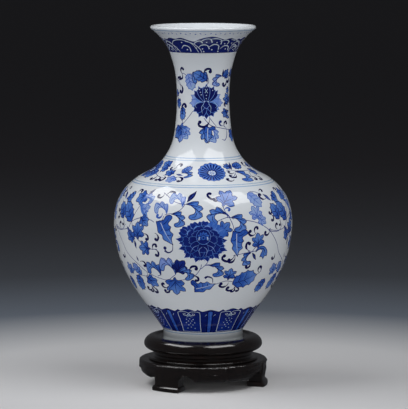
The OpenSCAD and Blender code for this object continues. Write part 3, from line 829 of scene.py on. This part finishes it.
def roundNormals(piece):
    # the outer wall takes its normals from its profile, so that the glaze reflects as one smooth surface
    mesh = piece.data
    bpy.context.view_layer.objects.active = piece
    mesh.shade_smooth()
    slopes = np.gradient(wallRadius, wallHeight)
    normals = np.array([n.vector for n in mesh.vertex_normals])
    co = np.array([v.co for v in mesh.vertices]) * 1000
    radius, height = np.hypot(co[:, 0], co[:, 1]), co[:, 2] - vaseShape["foot"]
    on = abs(radius - np.interp(height, wallHeight, wallRadius)) < 0.2
    on &= (height > 0.9) & (height < lipStart - 0.1)
    slope = np.interp(height, wallHeight, slopes)
    made = np.stack([co[:, 0] / np.maximum(radius, 1e-6), co[:, 1] / np.maximum(radius, 1e-6), -slope], 1)
    made /= np.linalg.norm(made, axis=1)[:, None]
    normals[on] = made[on]
    mesh.normals_split_custom_set_from_vertices([tuple(n) for n in normals])


vase = closeUp([paintedWall(), spun("vaseInside", insideOfVase(), vaseShape["columns"]),
                spun("vaseUnder", undersideOfVase(), vaseShape["columns"])], "painted_vase")
roundNormals(vase)
triangles = sum(len(p.vertices) - 2 for p in vase.data.polygons)
print("vase", triangles, "triangles,", openEdges(vase), "open edges")
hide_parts("vase")


class Value:
    # a shader socket that can be written in sums; each operator adds its Math node
    def __init__(self, paint, socket):
        self.paint, self.socket = paint, socket

    def maths(self, operation, *values):
        return self.paint.add("ShaderNodeMath", {"operation": operation}, values)

    def __add__(self, other):
        return self.maths("ADD", self, other)

    def __radd__(self, other):
        return self.maths("ADD", other, self)

    def __sub__(self, other):
        return self.maths("SUBTRACT", self, other)

    def __rsub__(self, other):
        return self.maths("SUBTRACT", other, self)

    def __mul__(self, other):
        return self.maths("MULTIPLY", self, other)

    def __rmul__(self, other):
        return self.maths("MULTIPLY", other, self)

    def __truediv__(self, other):
        return self.maths("DIVIDE", self, other)

    def above(self, edge):
        return self.maths("GREATER_THAN", self, edge)

    def between(self, low, high):
        # a soft step from 0 at low to 1 at high
        return self.paint.add("ShaderNodeMapRange", {"interpolation_type": "SMOOTHSTEP"},
                              {0: self, 1: low, 2: high, 3: 0.0, 4: 1.0})


class Paint:
    # one material; its nodes are made by add()
    def __init__(self, name):
        self.material = bpy.data.materials.new(name)
        self.material.use_nodes = True
        self.nodes, self.links = self.material.node_tree.nodes, self.material.node_tree.links
        self.shader = self.nodes["Principled BSDF"]

    def add(self, kind, settings=None, inputs=(), output=0):
        node = self.nodes.new(kind)
        for name, value in (settings or {}).items():
            if name == "stops":
                while len(node.color_ramp.elements) < len(value):
                    node.color_ramp.elements.new(0.5)
                for element, (place, colour) in zip(node.color_ramp.elements, value):
                    element.position, element.color = place, (*colour, 1)
            else:
                setattr(node, name, value)
        pairs = inputs.items() if isinstance(inputs, dict) else enumerate(inputs)
        for key, value in pairs:
            self.put(node.inputs[key], value)
        return Value(self, node.outputs[output])

    def put(self, socket, value):
        if isinstance(value, Value):
            self.links.new(value.socket, socket)
        else:
            socket.default_value = value

    def finish(self, **inputs):
        for name, value in inputs.items():
            self.put(self.shader.inputs[name.replace("_", " ")], value)
        return self.material

    def place(self):
        return self.add("ShaderNodeTexCoord", output="Object")

    def noise(self, place, scale, detail=3.0, rough=0.55):
        return self.add("ShaderNodeTexNoise", {},
                        {"Vector": place, "Scale": scale, "Detail": detail, "Roughness": rough})

    def stretch(self, place, scale):
        return self.add("ShaderNodeMapping", {}, {"Vector": place, "Scale": scale})

    def mix(self, factor, a, b, blend="MIX"):
        settings = {"data_type": "RGBA", "blend_type": blend}
        return self.add("ShaderNodeMix", settings, {0: factor, 6: a, 7: b}, 2)

    def split(self, place, axis):
        return self.add("ShaderNodeSeparateXYZ", {}, [place], axis)

    def bump(self, height, strength, depth, under=None):
        inputs = {"Height": height, "Strength": strength, "Distance": depth}
        if under:
            inputs["Normal"] = under
        return self.add("ShaderNodeBump", {}, inputs)


def shade(red, green, blue):
    # screen colour, 0 to 255, to the linear colour that a shader takes
    def linear(v):
        return v / 255 / 12.92 if v <= 10 else ((v / 255 + 0.055) / 1.055) ** 2.4
    return linear(red), linear(green), linear(blue)


glazeSettings = {
    "stops": [(0.0, shade(215, 219, 223)), (0.12, shade(154, 178, 202)), (0.28, shade(132, 154, 214)),
              (0.45, shade(84, 126, 200)), (0.6, shade(48, 92, 180)), (0.8, shade(22, 46, 132)),
              (1.0, shade(10, 13, 74))],
    "roughness": 0.055,
    "bareFoot": shade(214, 204, 188),
}


def glaze():
    # clear glaze over brushed cobalt: the wash pools, the lines stay dark, and the foot's rim is bare
    paint = Paint("cobalt_under_glaze")
    place = paint.place()
    ink = paint.add("ShaderNodeAttribute", {"attribute_name": "cobalt"}, output="Fac")
    pooling = paint.noise(place, 210.0, 4.0, 0.6) - 0.5
    broad = paint.noise(place, 60.0, 2.0) - 0.5
    wash = ink + ink * (1.0 - ink) * (pooling * 1.5 + broad * 0.9)
    colour = paint.add("ShaderNodeValToRGB", {"stops": glazeSettings["stops"]}, [wash])
    height, foot = paint.split(place, 2), vaseShape["foot"] / 1000
    cloud = paint.noise(place, 14.0, 2.0)
    colour = paint.mix((cloud.between(0.35, 0.7)) * 0.5, colour, (0.93, 0.96, 0.985, 1), "MULTIPLY")
    pooled = 1.0 - height.between(foot, foot + 0.0125)
    colour = paint.mix(pooled * 0.4, colour, (0.86, 0.93, 0.92, 1), "MULTIPLY")
    speck = paint.noise(place, 900.0, 1.0).between(0.77, 0.8) * paint.noise(place, 130.0, 0.0).above(0.6)
    colour = paint.mix(speck * 0.35, colour, (*shade(120, 112, 98), 1))
    bare = 1.0 - height.between(foot + 0.00015, foot + 0.00045)
    colour = paint.mix(bare, colour, (*glazeSettings["bareFoot"], 1))
    ripple = paint.noise(place, 55.0, 1.0) + paint.noise(place, 420.0, 1.0) * 0.06 + ink * 0.02
    grit = paint.noise(place, 1800.0, 2.0) * bare
    return paint.finish(
        Base_Color=colour, Roughness=glazeSettings["roughness"] + cloud * 0.03 + bare * 0.6,
        Normal=paint.bump(grit, 0.5, 0.0003, paint.bump(ripple, 0.35, 0.0006)), IOR=1.52)


def lacquer(name, direction, wear=1.0):
    # black lacquer on dark wood: a hint of grain, rubbed brown edges and dust in the hollows
    paint = Paint(name)
    place = paint.place()
    grainPlace = paint.stretch(place, direction)
    grain = paint.noise(grainPlace, 160.0, 5.0, 0.65)
    pores = paint.noise(grainPlace, 620.0, 2.0, 0.5).between(0.62, 0.72)
    patches = paint.noise(place, 45.0, 3.0)
    edge = paint.add("ShaderNodeNewGeometry", output="Pointiness").between(0.52, 0.6)
    rubbed = edge * paint.noise(place, 120.0, 3.0).between(0.42, 0.62) * wear
    colour = paint.mix(grain.between(0.35, 0.7) * 0.6, (0.0045, 0.0035, 0.0035, 1), (0.013, 0.008, 0.0065, 1))
    colour = paint.mix(rubbed * 0.55, colour, (0.045, 0.018, 0.010, 1))
    colour = paint.mix(pores * 0.4, colour, (0.002, 0.0015, 0.0015, 1))
    waves = paint.bump(paint.noise(place, 38.0, 1.0), 0.3, 0.0012)
    return paint.finish(
        Base_Color=colour, Roughness=0.09 + patches * 0.08 + pores * 0.12 + rubbed * 0.1,
        Normal=paint.bump(grain + pores * -0.6, 0.22, 0.00035, waves),
        IOR=1.5, Coat_Weight=0.9, Coat_Roughness=0.045)


def bareWood():
    paint = Paint("bare_birch")
    place = paint.place()
    lines = paint.noise(paint.stretch(place, (1.0, 1.0, 9.0)), 260.0, 4.0)
    stops = [(0.3, shade(196, 160, 112)), (0.5, shade(176, 134, 84)), (0.72, shade(214, 182, 136))]
    colour = paint.add("ShaderNodeValToRGB", {"stops": stops}, [lines])
    return paint.finish(Base_Color=colour, Roughness=0.55 + lines * 0.2,
                        Normal=paint.bump(lines, 0.3, 0.0003))


def screwSteel():
    paint = Paint("turned_steel")
    place = paint.place()
    brushed = paint.noise(paint.stretch(place, (1.0, 1.0, 14.0)), 900.0, 3.0)
    tarnish = paint.noise(place, 260.0, 3.0).between(0.5, 0.75)
    colour = paint.mix(tarnish * 0.5, (0.52, 0.52, 0.53, 1), (0.28, 0.24, 0.2, 1))
    return paint.finish(Base_Color=colour, Metallic=1.0, Roughness=0.28 + brushed * 0.18 + tarnish * 0.2,
                        Normal=paint.bump(brushed, 0.2, 0.0001))


def give(piece, material):
    piece.data.materials.clear()
    piece.data.materials.append(material)


def dress(node, material):
    # a CAD node keeps its shape and takes a new material
    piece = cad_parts[node]
    for i in range(max(1, len(piece.material_slots))):
        if not piece.material_slots:
            piece.data.materials.append(material)
        piece.material_slots[i].material = material


give(vase, glaze())
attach(vase, "vase")
print("vase painted")

# the stand, turned parts first: radii and heights in millimetres
seatShape = {
    "lipRise": 2.0,
    "recessDepth": 1.5,
    "recessRadius": 45.5,
    "rimReach": 11.0,
    "rimLow": 7.0,
    "slope": 3.0,
}
rings = {"inside": 34, "columns": 144, "smoothBelow": 40}


def turnedSize(node):
    # a turned CAD node's lowest height, highest height and radius
    low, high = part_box(node)
    return low.z * 1000, high.z * 1000, high.x * 1000


discLow, standTop, seatRadius = turnedSize("seat_disc")
waistLow, waistHigh, waistRadius = turnedSize("waist_ring")
beadLow, beadHigh, beadRadius = turnedSize("bead_ring")


def seatProfile():
    # flat underneath, a full rounded rim, then a slope down to the seat and the foot's recess
    s = seatShape
    seat, reach = standTop - s["lipRise"], s["rimReach"]
    recess = seat - s["recessDepth"]
    middle = (seatRadius - reach, discLow + s["rimLow"])
    path = [(0, discLow), (20, discLow), (40, discLow)]
    path += oval(middle, reach, s["rimLow"], -90, 0, 14)[:-1]
    path += oval(middle, reach, standTop - middle[1], 0, 90, 18)
    path += arc((middle[0], standTop - s["slope"]), s["slope"], 98, 150, 6)
    path += arc((middle[0] - 5.2, seat + 1.2), 1.2, -58, -90, 3)
    path += [(s["recessRadius"] + 0.7, seat), (s["recessRadius"] + 0.2, seat - 0.2),
             (s["recessRadius"], seat - 0.7), (s["recessRadius"], recess), (24, recess), (0, recess)]
    return path


turnedWood = lacquer("lacquer_turned", (1.0, 1.0, 5.0))
seat = spun("seat_top", seatProfile(), rings["columns"])
seat.data.shade_smooth()


def rounded(piece, width, segments, angle=35):
    # rounds the hard edges, then shades the rest smooth
    selectOnly(piece)
    bevel = piece.modifiers.new("rounding", "BEVEL")
    bevel.width, bevel.segments = width / 1000, segments
    bevel.limit_method, bevel.angle_limit = "ANGLE", math.radians(angle)
    bpy.ops.object.modifier_apply(modifier="rounding")
    bpy.ops.object.shade_smooth_by_angle(angle=math.radians(32))


def stands(piece, node, material):
    give(piece, material)
    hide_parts(node)
    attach(piece, "stand")
    return piece


stands(seat, "seat_disc", turnedWood)


def turnedRing(name, node, low, high, side):
    # a ring with a plain bore; side is the outer profile from the bottom up
    inside = rings["inside"]
    ring = spun(name, [(inside, low)] + side + [(inside, high), (inside, low)], rings["columns"])
    stands(ring, node, turnedWood)
    ring.data.shade_smooth()
    selectOnly(ring)
    bpy.ops.object.shade_smooth_by_angle(angle=math.radians(rings["smoothBelow"]))


hollow = arc((waistRadius + 1.0, waistLow + 2.5), 2.6, 236, 124, 9)
turnedRing("waist", "waist_ring", waistLow, waistHigh,
           [(waistRadius, waistLow), (waistRadius, waistLow + 0.3)] + hollow
           + [(waistRadius - 0.4, waistHigh - 0.3), (waistRadius - 0.5, waistHigh)])
half = (beadHigh - beadLow) / 2
turnedRing("bead", "bead_ring", beadLow, beadHigh,
           arc((beadRadius - half, beadLow + half), half, -90, 90, 12))
print("seat, waist and bead turned")

# the apron: each CAD segment softened as carving leaves it, with a beaded line cut beside the arches
carving = {
    "grain": 0.00062,
    "keep": 0.42,
    "cut": 0.8,
    "raise": 0.8,
    "width": 0.85,
    "faceRadius": 70,
    "firstLeg": -127,
}


def copyOfNode(node, name):
    # a free copy of a CAD node, with its loose triangles merged
    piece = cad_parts[node].copy()
    piece.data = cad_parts[node].data.copy()
    piece.parent = None
    piece.name = piece.data.name = name
    for key in [k for k in piece.keys() if k.startswith("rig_")]:
        del piece[key]
    bpy.context.scene.collection.objects.link(piece)
    selectOnly(piece)
    bpy.ops.object.mode_set(mode="EDIT")
    bpy.ops.mesh.select_all(action="SELECT")
    bpy.ops.mesh.remove_doubles(threshold=0.00001)
    bpy.ops.object.mode_set(mode="OBJECT")
    return piece


def carvedLeg(number):
    piece = copyOfNode("leg_segment_%d" % number, "apron_leg_%d" % number)
    piece.data.remesh_voxel_size = carving["grain"]
    piece.data.remesh_voxel_adaptivity = 0
    bpy.ops.object.voxel_remesh()
    soften = piece.modifiers.new("soften", "SMOOTH")
    soften.factor, soften.iterations = 0.5, 3
    bpy.ops.object.modifier_apply(modifier="soften")
    carve(piece, number)
    fewer = piece.modifiers.new("fewer", "DECIMATE")
    fewer.ratio = carving["keep"]
    bpy.ops.object.modifier_apply(modifier="fewer")
    piece.data.shade_smooth()
    return piece


def lineDistance(px, pz, line):
    best = np.full(len(px), 99.0)
    for (ax, az), (bx, bz) in zip(line, line[1:]):
        dx, dz = bx - ax, bz - az
        t = np.clip(((px - ax) * dx + (pz - az) * dz) / (dx * dx + dz * dz), 0, 1)
        best = np.minimum(best, np.hypot(px - ax - t * dx, pz - az - t * dz))
    return best


def carve(piece, number):
    # grooves and small scrolls, drawn on the unrolled face as arc length from the leg's middle against height
    co = np.array([v.co for v in piece.data.vertices]) * 1000
    normals = np.array([n.vector for n in piece.data.vertex_normals])
    radius = np.hypot(co[:, 0], co[:, 1])
    middle = math.radians(carving["firstLeg"] + 120 * (number - 1))
    turn = (np.arctan2(co[:, 1], co[:, 0]) - middle + math.pi) % (2 * math.pi) - math.pi
    out = (normals[:, 0] * co[:, 0] + normals[:, 1] * co[:, 1]) / radius
    x, z = abs(turn) * carving["faceRadius"], co[:, 2]
    face = np.clip((out - 0.25) / 0.4, 0, 1)
    turns = [(3.3 - 0.42 * k, -0.6 + 0.75 * k) for k in range(8)]
    spiral = [(8.5 + r * math.cos(a), 14.2 + r * math.sin(a)) for r, a in turns]
    grooves = [
        [(14.9, 6), (14.9, 9.0), (16.2, 16), (19.5, 19.6), (26, 20.4), (32, 19), (36.5, 14.4),
         (42, 13.2), (66, 13.0), (73, 13.4)],
        spiral, [(0, 24.2), (4, 23.4), (9, 21.4), (11.8, 17.6)], [(2.6, 21.2), (3.4, 16), (2.2, 10.5)],
        [(46, 22), (50, 19.6), (54, 19.2), (57.5, 20.4)]]
    collar = [
        (0, 27.2), (26.2, 26.4), (44.6, 24.4), (51.1, 22.4), (55.8, 20.4), (60.7, 20.2), (66.7, 22.8),
        (70.1, 26.2), (73.3, 27.8)]
    depth = np.zeros(len(x))
    for line in grooves:
        depth = np.maximum(depth, np.exp(-(lineDistance(x, z, line) / carving["width"]) ** 2))
    raised = np.exp(-(lineDistance(x, z, collar) / carving["width"]) ** 2)
    move = (carving["raise"] * raised - carving["cut"] * depth * (1 - raised)) * face
    co[:, 0] += move * co[:, 0] / radius
    co[:, 1] += move * co[:, 1] / radius
    piece.data.vertices.foreach_set("co", (co / 1000).astype(np.float32).ravel())
    piece.data.update()


carvedWood = lacquer("lacquer_carved", (1.0, 1.0, 3.0))
for number in (1, 2, 3):
    stands(carvedLeg(number), "leg_segment_%d" % number, carvedWood)
print("legs carved")

for number in (1, 2, 3):
    block = copyOfNode("foot_block_%d" % number, "foot_pad_%d" % number)
    bpy.ops.object.mode_set(mode="EDIT")
    bpy.ops.mesh.select_all(action="SELECT")
    bpy.ops.mesh.dissolve_limited(angle_limit=math.radians(1.5))
    bpy.ops.object.mode_set(mode="OBJECT")
    rounded(block, 0.5, 3)
    stands(block, "foot_block_%d" % number, carvedWood)
print("feet rounded")

dress("core_board", turnedWood)
birch = bareWood()
for node in ("joint_dowels_1", "joint_dowels_2", "joint_dowels_3", "foot_pins"):
    dress(node, birch)
dress("seat_screws", screwSteel())

# the studio
# heights above the seat, in metres
studio = {"distance": 3.2, "eyeHeight": 0.5015, "middle": 0.1499, "aside": 0.001, "lens": 253.5}
cameraData = bpy.data.cameras.new("view")
camera = bpy.data.objects.new("view", cameraData)
bpy.context.scene.collection.objects.link(camera)
seatHeight = vaseShape["foot"] / 1000
camera.location = (studio["aside"], -studio["distance"], seatHeight + studio["eyeHeight"])
aim = Vector((studio["aside"], 0, seatHeight + studio["middle"]))
camera.rotation_euler = (aim - camera.location).to_track_quat("-Z", "Y").to_euler()
cameraData.lens, cameraData.sensor_width = studio["lens"], 36
cameraData.clip_start, cameraData.clip_end = 0.05, 60
bpy.context.scene.camera = camera

bpy.ops.object.select_all(action="DESELECT")
bpy.ops.mesh.primitive_plane_add(size=80, location=(0, 0, 0))
floor = bpy.context.active_object
floor.name = "paper_floor"
bpy.ops.object.transform_apply(location=True, rotation=True, scale=True)


def paperFloor():
    # pale paper under the object carrying painted light: a pool of light painted round the object that falls
    # away into painted grey shade behind it and all round
    paint = Paint("paper_with_painted_light_pool")
    place = paint.place()
    level = paint.add("ShaderNodeVectorMath", {"operation": "MULTIPLY"}, [place, (1, 1, 0)])
    away = paint.add("ShaderNodeVectorMath", {"operation": "LENGTH"}, [level], 1)
    # painted light and shade: bright near the object, darkening with distance from it in every direction
    colour = paint.add("ShaderNodeValToRGB", {"stops": [
        (0.0, (0.79, 0.785, 0.79)), (0.12, (0.66, 0.665, 0.68)), (0.22, (0.15, 0.175, 0.215)),
        (0.36, (0.075, 0.084, 0.1)), (0.6, (0.062, 0.065, 0.075)), (1.0, (0.05, 0.045, 0.052))]},
        [away / 2.6])
    return paint.finish(Base_Color=colour, Roughness=0.6,
                        Normal=paint.bump(paint.noise(place, 900.0, 2.0), 0.05, 0.0004))


give(floor, paperFloor())
floor.visible_glossy = False


def softbox(name, place, aim, width, depth, power, colour=(1, 1, 1), mirrored=True):
    light = bpy.data.lights.new(name, "AREA")
    light.shape, light.size, light.size_y = "RECTANGLE", width, depth
    light.energy, light.color = power, colour
    lamp = bpy.data.objects.new(name, light)
    bpy.context.scene.collection.objects.link(lamp)
    lamp.location = place
    lamp.rotation_euler = (Vector(aim) - Vector(place)).to_track_quat("-Z", "Y").to_euler()
    lamp.visible_glossy = mirrored


softbox("high_right", (0.57, -0.48, 1.3), (0, 0, 0.28), 1.15, 0.6, 8.5)
softbox("high_left", (-0.73, -0.16, 1.3), (0, 0, 0.28), 1.15, 0.6, 8.5)
softbox("front_fill", (-0.9, -2.5, 1.0), (0, 0, 0.16), 2.0, 1.6, 17, (0.98, 0.985, 1.0), False)
softbox("low_fill", (0.5, -2.6, 0.34), (0, 0, 0.08), 1.6, 0.5, 9, (1.0, 0.99, 0.97), False)
softbox("right_fill", (2.0, -0.9, 0.7), (0, 0, 0.2), 0.9, 1.6, 6, (0.97, 0.98, 1.0), False)
softbox("left_fill", (-2.0, -0.6, 0.8), (0, 0, 0.2), 0.9, 1.6, 6, (0.97, 0.98, 1.0), False)
world = bpy.data.worlds.new("dim_room")
bpy.context.scene.world = world
world.use_nodes = True
world.node_tree.nodes["Background"].inputs["Color"].default_value = (0.045, 0.046, 0.05, 1)
world.node_tree.nodes["Background"].inputs["Strength"].default_value = 1.0
bpy.context.scene.view_settings.view_transform = "Standard"

print("scene ready")
